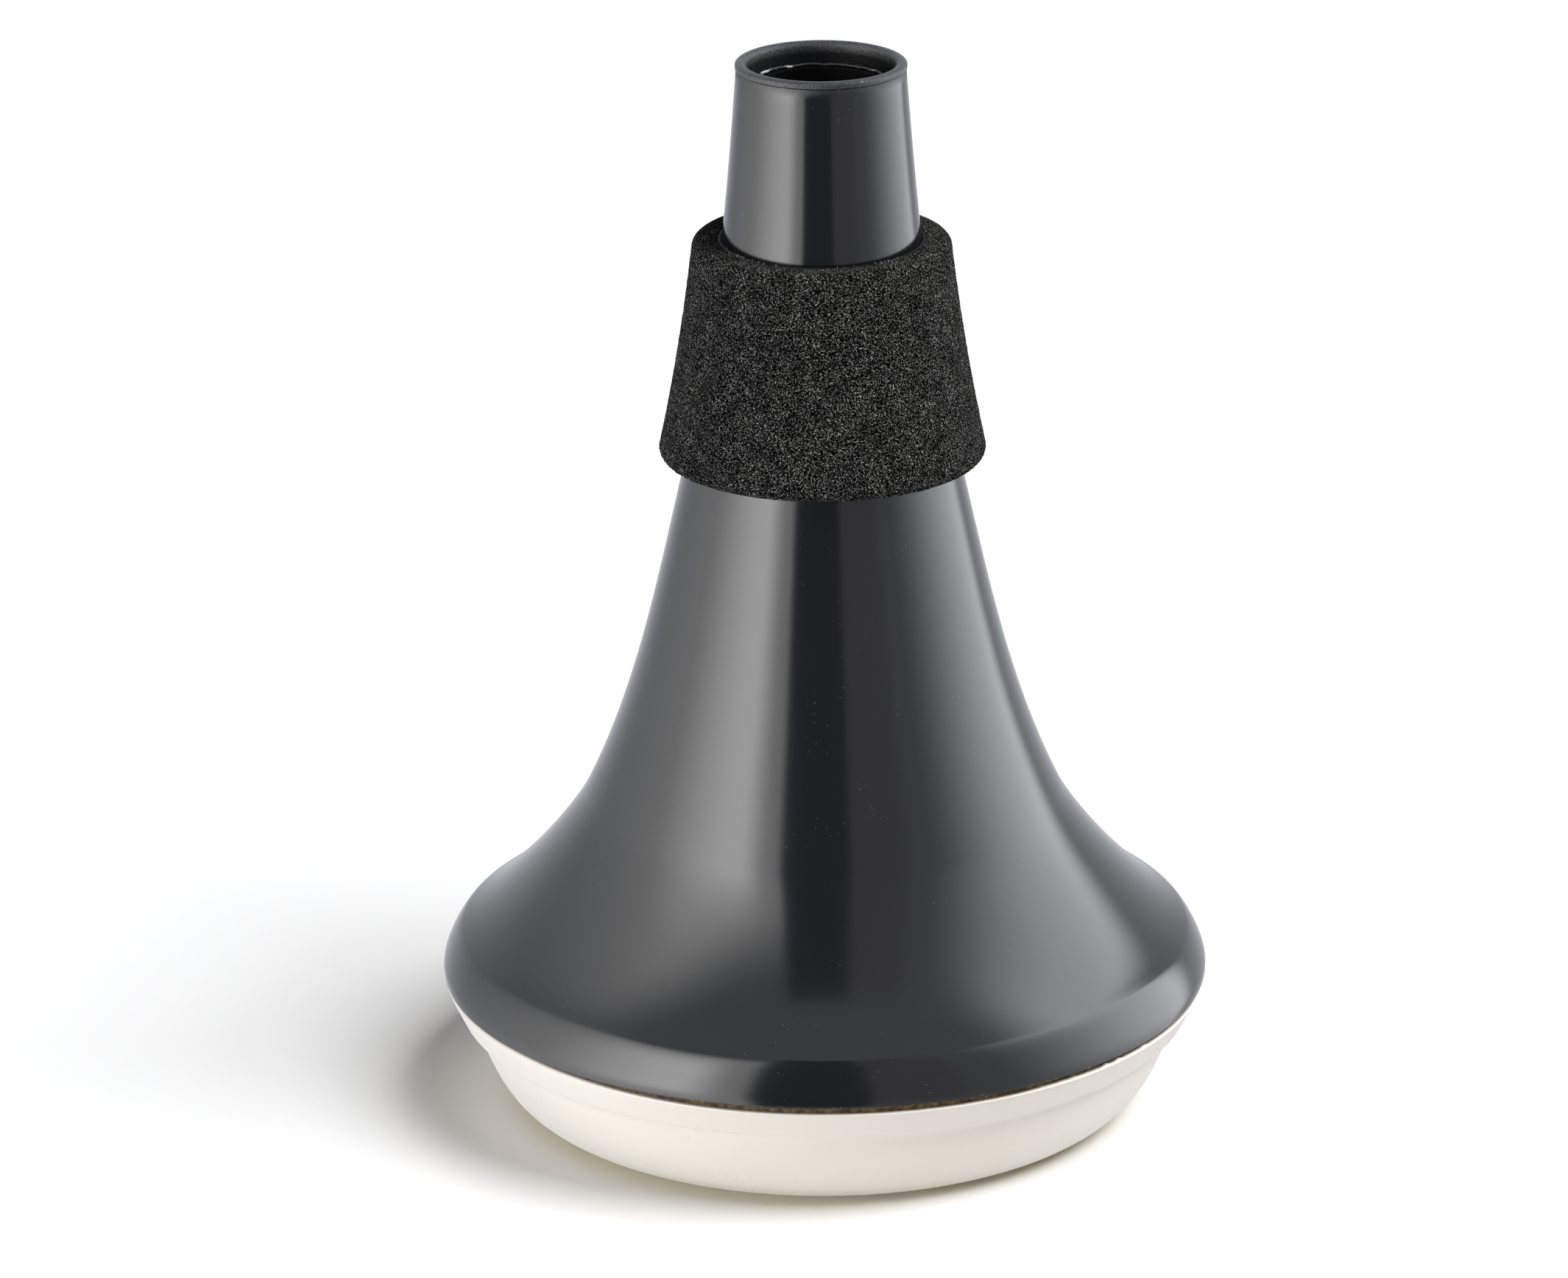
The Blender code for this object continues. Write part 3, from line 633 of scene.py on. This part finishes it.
# %% Turn the cap and drill its vents
floor = spun("cap_floor", [(0.0, CAP_WALL), (FLOOR_R, CAP_WALL), (FLOOR_R, 0.0), (0.0, 0.0)], closed=False,
             steps=CAP_STEPS)
bm = bmesh.new()
for i in range(VENTS):
    turn = math.radians(30) + i * math.tau / VENTS
    place = Matrix.Rotation(turn, 4, "Z") @ Matrix.Translation((VENT_CIRCLE_R * MM, 0, 0))
    bmesh.ops.create_cone(bm, cap_ends=True, segments=32, radius1=VENT_R * MM, radius2=VENT_R * MM,
                          depth=4 * CAP_WALL * MM, matrix=place)
drill = as_piece("vent_drill", bm)
drilling = floor.modifiers.new("vents", "BOOLEAN")
drilling.object = drill
drilled = bpy.data.meshes.new_from_object(floor.evaluated_get(bpy.context.evaluated_depsgraph_get()))
turned_wall = spun("cap_wall", cap_section, closed=False, steps=CAP_STEPS, wobble=levered)
bm = bmesh.new()
bm.from_mesh(drilled)
hidden = [face for face in bm.faces if face.calc_center_median().to_2d().length > (FLOOR_R - 0.001) * MM
          and abs(face.normal.z) < 0.5]
bmesh.ops.delete(bm, geom=hidden, context="FACES")
bm.from_mesh(turned_wall.data)
bmesh.ops.remove_doubles(bm, verts=bm.verts, dist=0.000002)
for helper in (floor, drill, turned_wall):
    bpy.data.objects.remove(helper)
open_edges = [edge for edge in bm.edges if len(edge.link_faces) != 2]
print("edges left open", len(open_edges))
cap = as_piece("cap_piece", bm)
stands_for(cap, ivory_abs(), "base_cap", "cap")

# %% [markdown]
# ## Cork and painted shade in the seam
#
# The gasket is agglomerated cork: granules of about a millimetre, pressed and ground. Its
# dark browns are cork colour and painted shade for the seam. It is squeezed out a little under
# the shell's rim, which is the brown line in the seam, and its underside follows the flange's lip.

# %% Build the gasket
seam_shade_cork_mat, tree, coords = empty_material("brown cork painted seam shade")
granules = add(tree, "ShaderNodeTexVoronoi", inputs={"Vector": coords, "Scale": 1100.0})
grit = add(tree, "ShaderNodeTexNoise", inputs={"Vector": coords, "Scale": 2600.0, "Detail": 3.0})
cork_shade = add(tree, "ShaderNodeMath", {"operation": "MULTIPLY"}, {0: granules, 1: grit})
cork_step = add(tree, "ShaderNodeMapRange", inputs={"Value": cork_shade, "From Min": 0.1, "From Max": 0.38})
# painted shade: these dark cork browns stand for the shade in the seam's gap
seam_shade_cork_tone = add(tree, "ShaderNodeMix", {"data_type": "RGBA"},
                {"Factor": cork_step, "A": linear("#6f5f47"), "B": linear("#43372a")})
cork_relief = add(tree, "ShaderNodeBump",
                  inputs={"Strength": 0.6, "Distance": 0.0002, "Height": cork_shade})
finished(seam_shade_cork_mat, Base_Color=seam_shade_cork_tone, Roughness=0.9, IOR=1.4, Specular_IOR_Level=0.3, Normal=cork_relief)
SQUEEZED_R = 53.2


def granular(co):
    """Granules stand out a little, and the gasket follows the sprung lip of the flange."""
    lifted = sprung(math.degrees(math.atan2(co.x, -co.y))) if co.z < (FLANGE_TOP + 0.15) * MM else 0.0
    return outward(co) * noise.noise(co * 1500.0) * 0.00003 + Vector((0, 0, lifted * MM))


gasket_section = [(50.15, RIM_Z - 0.06), (50.15, GROOVE_Z + 0.3), (GROOVE_R - 0.1, GROOVE_Z + 0.3),
                  (GROOVE_R - 0.1, FLANGE_TOP + 0.06), (SQUEEZED_R, FLANGE_TOP + 0.06),
                  (SQUEEZED_R + 0.05, RIM_Z - 0.24), (SQUEEZED_R + 0.34, RIM_Z - 0.19),
                  (SQUEEZED_R + 0.4, RIM_Z - 0.12), (SQUEEZED_R + 0.34, RIM_Z - 0.06)]
gasket = spun("cork_gasket_seam_shade", gasket_section, steps=720, wobble=granular)
stands_for(gasket, seam_shade_cork_mat, "rim_gasket", "cap")

# %% [markdown]
# ## Felt and open foam inside
#
# Felts damp the tube and the flare. They are die-cut from pressed wool, so the edges are
# soft and the faces uneven by a tenth of a millimetre. They are turned like the rest and
# then roughened, because felt this thin and stiff keeps its cut shape and a cloth
# simulation would change nothing. The foam plug is open-celled, with pores one can see.

# %% Felt material
felt_mat, tree, coords = empty_material("grey wool felt pressed")
clump = add(tree, "ShaderNodeTexNoise",
            inputs={"Vector": coords, "Scale": 420.0, "Detail": 4.0, "Distortion": 1.5})
strand = add(tree, "ShaderNodeTexNoise",
             inputs={"Vector": coords, "Scale": 2600.0, "Detail": 3.0, "Distortion": 3.0})
fuzz = add(tree, "ShaderNodeMath", {"operation": "MULTIPLY"}, {0: clump, 1: strand})
felt_step = add(tree, "ShaderNodeMapRange", inputs={"Value": fuzz, "From Min": 0.12, "From Max": 0.4})
felt_tone = add(tree, "ShaderNodeMix", {"data_type": "RGBA"},
                {"Factor": felt_step, "A": linear("#5a5854"), "B": linear("#a3a09a")})
felt_relief = add(tree, "ShaderNodeBump", inputs={"Strength": 0.9, "Distance": 0.0004, "Height": strand})
finished(felt_mat, Base_Color=felt_tone, Roughness=1.0, Sheen_Weight=0.3, Specular_IOR_Level=0.1,
         Normal=felt_relief)


def matted(co):
    """Pressed fibres leave the face uneven by about a tenth of a millimetre."""
    lump = noise.noise(co * 700.0) * 0.00008 + noise.noise(co * 2300.0) * 0.00004
    return outward(co) * lump + Vector((0, 0, lump))


# %% Felt disc in the cap
FELT_DISC_R, DISC_LOW, DISC_TOP, DISC_EDGE = 36.3, CAP_WALL + 0.35, CAP_WALL + 3.2, 0.7
disc_edge = arc((FELT_DISC_R - DISC_EDGE, DISC_TOP - DISC_EDGE), DISC_EDGE, 90, 0, 5)
disc_section = [(0.0, DISC_TOP)] + run((0.0, DISC_TOP), disc_edge[0], 60) + disc_edge
disc_section += [(FELT_DISC_R, DISC_LOW + 0.2), (FELT_DISC_R - 0.3, DISC_LOW), (0.0, DISC_LOW)]
felt_disc = spun("felt_disc_piece", disc_section, closed=False, steps=320, wobble=matted, sharp=180)
stands_for(felt_disc, felt_mat, "cap_felt_disc", "cap")

# %% Felt round the tube
SLEEVE_FELT_R, SLEEVE_FELT_LOW, SLEEVE_FELT_HIGH = 12.05, 52.1, 95.9
tube_felt_section = round_ring(TUBE_R + FIT, SLEEVE_FELT_R, SLEEVE_FELT_LOW, SLEEVE_FELT_HIGH,
                               edge=0.5, pitch=0.5)
tube_felt = spun("tube_felt_piece", tube_felt_section, steps=160, wobble=matted, sharp=180)
stands_for(tube_felt, felt_mat, "tube_felt_sleeve", "housing")

# %% Felt lining of the flare
LINING_LOW, LINING_HIGH, LINING_WALL = 52.1, 83.9, 1.9
lining_heights = [LINING_HIGH + (LINING_LOW - LINING_HIGH) * i / 50 for i in range(51)]
against_shell = inset(OUTLINE, SHELL_WALL + FIT + 0.1)
back = [(radius_at(against_shell, z), z) for z in lining_heights]
inner_face = inset(OUTLINE, SHELL_WALL + FIT + LINING_WALL)
front = [(radius_at(inner_face, z), z) for z in lining_heights]
front[0] = (front[0][0] + 0.35, front[0][1])
front[-1] = (front[-1][0] + 0.45, front[-1][1])
lining = spun("lining_felt_piece", back + list(reversed(front)), steps=256, wobble=matted, sharp=180)
stands_for(lining, felt_mat, "flare_felt_lining", "housing")

# %% Pads on the spider's legs
LEG_END_R, LEGS, PAD_SIZE, PAD_Z = 27.0, 3, (2.1, 7.8, 5.8), 43.5
for leg in range(LEGS):
    turn = math.radians(90) + leg * math.tau / LEGS
    bm = bmesh.new()
    bmesh.ops.create_cube(bm, size=1.0, matrix=Matrix.Diagonal((*[s * MM for s in PAD_SIZE], 1.0)))
    bmesh.ops.bevel(bm, geom=bm.edges[:], offset=0.5 * MM, segments=3, profile=0.5, affect="EDGES",
                    material=-1)
    bmesh.ops.subdivide_edges(bm, edges=bm.edges[:], cuts=6, use_grid_fill=True)
    middle = LEG_END_R + FIT + 1.1
    seated = Matrix.Translation((middle * math.cos(turn) * MM, middle * math.sin(turn) * MM, PAD_Z * MM))
    bmesh.ops.transform(bm, matrix=seated @ Matrix.Rotation(turn, 4, "Z"), verts=bm.verts)
    for vert in bm.verts:
        vert.co += matted(vert.co) * 0.8
    pad = as_piece(f"pad_piece_{leg + 1}", bm, sharp=180)
    stands_for(pad, felt_mat, f"spider_pad_{leg + 1}", "housing")

# %% Open foam plug
PLUG_R, PLUG_LOW, PLUG_LENGTH, PLUG_EDGE = TUBE_R - TUBE_WALL - FIT, TUBE_LOW + 0.5, 12.0, 0.5
pore_mat, tree, coords = empty_material("grey polyurethane foam open cell")
pores = add(tree, "ShaderNodeTexVoronoi", inputs={"Vector": coords, "Scale": 1300.0})
pore = add(tree, "ShaderNodeMapRange", inputs={"Value": pores, "From Min": 0.25, "From Max": 0.55})
pore_tone = add(tree, "ShaderNodeMix", {"data_type": "RGBA"},
                {"Factor": pore, "A": linear("#101010"), "B": linear("#6a6a69")})
pore_relief = add(tree, "ShaderNodeBump", inputs={"Strength": 1.0, "Distance": 0.0006, "Height": pore})
finished(pore_mat, Base_Color=pore_tone, Roughness=1.0, Specular_IOR_Level=0.1, Normal=pore_relief)


def porous(co):
    pit = -abs(noise.noise(co * 1100.0)) * 0.0003
    return outward(co) * pit * 0.5 + Vector((0, 0, pit if co.z > (PLUG_LOW + 6) * MM else -pit))


plug_high = arc((PLUG_R - PLUG_EDGE, PLUG_LOW + PLUG_LENGTH - PLUG_EDGE), PLUG_EDGE, 90, 0, 4)
plug_foot = arc((PLUG_R - PLUG_EDGE, PLUG_LOW + PLUG_EDGE), PLUG_EDGE, 0, -90, 4)
plug_section = [(0.0, PLUG_LOW + PLUG_LENGTH)] + run((0.0, PLUG_LOW + PLUG_LENGTH), plug_high[0], 26)
plug_section += plug_high + run(plug_high[-1], plug_foot[0], 30) + plug_foot
plug_section += run(plug_foot[-1], (0.0, PLUG_LOW), 26) + [(0.0, PLUG_LOW)]
plug = spun("foam_plug_piece", plug_section, closed=False, steps=160, wobble=porous, sharp=180)
stands_for(plug, pore_mat, "tube_foam_plug", "housing")

# %% [markdown]
# ## The spider
#
# The moulded spider that centres the tube keeps its shape from the frame, since flat legs
# and a round hub are all there is to it. It gets the ring's grained plastic, a shade darker.

# %% Dress the spider
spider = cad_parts["tube_spider"]
spider.data.materials.clear()
spider.data.materials.append(grained_plastic("black grained moulding", "#141517", "#242527"))
print("spider dressed")

# %% [markdown]
# ## Table
#
# The mute stands on a white table. Seen by the camera the table is all but pure white, so
# that it runs into the background where the key lights it, and it still takes the mute's
# shadow. For other rays it is a pale grey, so that it doesn't throw too much light up under
# the cap. It is left out of mirror rays, whose light comes from the studio drawn in the next
# step.

# %% Build the table
bm = bmesh.new()
bmesh.ops.create_grid(bm, x_segments=1, y_segments=1, size=3.0)
table = as_piece("table", bm)
table.visible_glossy = False
table_mat, tree, coords = empty_material("white table")
seen = add(tree, "ShaderNodeLightPath").outputs["Is Camera Ray"]
table_tone = add(tree, "ShaderNodeMix", {"data_type": "RGBA"},
                 {"Factor": seen, "A": linear("#dbdcdd"), "B": linear("#fafafb")})
finished(table_mat, Base_Color=table_tone, Roughness=0.9, Specular_IOR_Level=0.0)
table.data.materials.append(table_mat)

# %% [markdown]
# ## What the gloss mirrors
#
# A photographer lights black gloss by what it mirrors: a broad soft box on the left, one
# further round on the right, and a dark gap where the camera stands. Those are drawn in
# the world by azimuth and elevation, each as a patch with soft sides, and only mirror rays
# see them. All other rays see a faint even light, so the boxes shape the gloss and don't
# burn out the ivory. Azimuth 0 is the camera's side and grows to the right.

# %% World: the mirrored studio
ROOM = (0.76, 0.79, 0.84)
SCREENS = (                     # colour, then azimuth and elevation: starts, full, fades, ends
    ((0.62, 0.60, 0.68), (9.0, 12.0, 38.0, 46.0), (-32.0, -18.0, 60.0, 70.0)),
    ((0.19, 0.215, 0.25), (-22.5, -21.0, 12.0, 13.5), (-36.0, -26.0, 65.5, 68.0)),
)
BOXES = (
    ((2.05, 2.0, 1.97), (-140.0, -70.0, -25.0, -21.0), (-70.0, -25.0, 46.0, 62.0)),
    ((4.35, 4.3, 4.27), (-95.0, -42.0, -44.0, -28.0), (-45.0, 8.0, 30.0, 56.0)),
    ((3.45, 3.5, 3.65), (50.0, 110.0, 126.0, 140.0), (-50.0, 14.0, 50.0, 66.0)),
)
EVEN_LIGHT = 0.01
print(len(SCREENS), "screens and", len(BOXES), "boxes")

# %% Where each ray points
world = bpy.data.worlds.new("studio")
bpy.context.scene.world = world
world.use_nodes = True
sky = world.node_tree
sky.nodes.clear()
ray = add(sky, "ShaderNodeTexCoord").outputs["Generated"]
parts = add(sky, "ShaderNodeSeparateXYZ", inputs={"Vector": ray}).outputs
nearer = add(sky, "ShaderNodeMath", {"operation": "MULTIPLY"}, {0: parts["Y"], 1: -1.0})
turned = add(sky, "ShaderNodeMath", {"operation": "ARCTAN2"}, {0: parts["X"], 1: nearer})
azimuth = add(sky, "ShaderNodeMath", {"operation": "DEGREES"}, {0: turned})
raised = add(sky, "ShaderNodeMath", {"operation": "ARCSINE"}, {0: parts["Z"]})
elevation = add(sky, "ShaderNodeMath", {"operation": "DEGREES"}, {0: raised})
print("rays read by azimuth and elevation")


# %% One soft-sided patch
def patch(across, upright):
    """How much of a soft-sided patch a ray sees, from 0 to 1."""
    cover = 1.0
    for angle, (start, full, fading, end) in ((azimuth, across), (elevation, upright)):
        for low, high in ((start, full), (end, fading)):
            side = add(sky, "ShaderNodeMapRange", {"interpolation_type": "SMOOTHSTEP"},
                       {"Value": angle, "From Min": low, "From Max": high})
            cover = add(sky, "ShaderNodeMath", {"operation": "MULTIPLY"}, {0: side, 1: cover})
    return cover


# %% Join the patches and choose by ray
mirrored = (*ROOM, 1.0)
for blend, patches in (("MIX", SCREENS), ("ADD", BOXES)):
    for colour, across, upright in patches:
        mirrored = add(sky, "ShaderNodeMix", {"data_type": "RGBA", "blend_type": blend},
                       {"Factor": patch(across, upright), "A": mirrored, "B": (*colour, 1.0)})
path = add(sky, "ShaderNodeLightPath").outputs
lit = add(sky, "ShaderNodeMix", {"data_type": "RGBA"},
          {"Factor": path["Is Glossy Ray"], "A": (EVEN_LIGHT, EVEN_LIGHT, EVEN_LIGHT, 1.0), "B": mirrored})
backed = add(sky, "ShaderNodeMix", {"data_type": "RGBA"},
             {"Factor": path["Is Camera Ray"], "A": lit, "B": (1.0, 1.0, 1.0, 1.0)})
background = add(sky, "ShaderNodeBackground", inputs={"Color": backed})
add(sky, "ShaderNodeOutputWorld", inputs={"Surface": background})
print("world with", len(sky.nodes), "nodes")

# %% [markdown]
# ## Lamps
#
# Three area lamps give the form its soft shading and the table its shadow: a large key
# high and far off on the right, which throws a soft shadow to the left and lights the whole
# table evenly, and two low ones near the object, which light the cap from the left and the
# front right and hardly reach the table. The left one is a little cooler, as daylight is.
# They are hidden from mirror rays, which already see the boxes. Each is given by the light
# it throws on a surface facing it, where 1 shows a white surface as white.


# %% Hang the lamps
PLAIN, DAYLIGHT = (1.0, 1.0, 1.0), (0.965, 0.985, 1.0)
LAMPS = (                       # name, azimuth, elevation, distance, width, height, light, tint
    ("key_right", 67, 57, 8.0, 6.0, 5.6, 1.52, PLAIN),
    ("fill_right", 28, 5, 1.2, 0.9, 0.3, 0.09, PLAIN),
    ("fill_left", -62, 4, 1.2, 0.9, 0.3, 0.70, DAYLIGHT),
)


def lamp(name, azimuth_at, elevation_at, distance, width, height, face_on, tint):
    data = bpy.data.lights.new(name, "AREA")
    data.shape = "RECTANGLE"
    data.size, data.size_y = width, height
    data.energy = face_on * math.pi**2 * distance**2
    data.color = tint
    obj = bpy.data.objects.new(name, data)
    bpy.context.scene.collection.objects.link(obj)
    a, e = math.radians(azimuth_at), math.radians(elevation_at)
    away = Vector((math.sin(a) * math.cos(e), -math.cos(a) * math.cos(e), math.sin(e)))
    obj.location = Vector((0.0, 0.0, 0.07)) + away * distance
    obj.rotation_euler = (-away).to_track_quat("-Z", "Y").to_euler()
    obj.visible_glossy = False
    obj.visible_camera = False
    print(name, round(data.energy, 2), "W")


for row in LAMPS:
    lamp(*row)

# %% [markdown]
# ## Camera
#
# The mute was photographed from a little under a metre, looking down by nineteen degrees,
# with a long lens. The frame is 2130 pixels wide, and the focal length is known in those
# pixels, so the lens follows from the sensor's width. The camera is also rolled by a third
# of a degree about its own line of sight.

# %% Place the camera
CAMERA_BACK, CAMERA_UP, CAMERA_LEFT = 0.960, 0.4053, 0.0055
CAMERA_DOWN, CAMERA_ROLL = 19.40, -0.34
FOCAL_PIXELS, FRAME_PIXELS, SENSOR = 9886.0, 2130.0, 36.0
camera_data = bpy.data.cameras.new("camera")
camera_data.sensor_width = SENSOR
camera_data.lens = SENSOR * FOCAL_PIXELS / FRAME_PIXELS
camera = bpy.data.objects.new("camera", camera_data)
bpy.context.scene.collection.objects.link(camera)
camera.location = (-CAMERA_LEFT, -CAMERA_BACK, CAMERA_UP)
tilt = Matrix.Rotation(math.radians(90 - CAMERA_DOWN), 3, "X")
camera.rotation_euler = (tilt @ Matrix.Rotation(math.radians(CAMERA_ROLL), 3, "Z")).to_euler()
bpy.context.scene.camera = camera
bpy.context.scene.view_settings.view_transform = "Standard"
print("lens", round(camera_data.lens, 2), "mm")
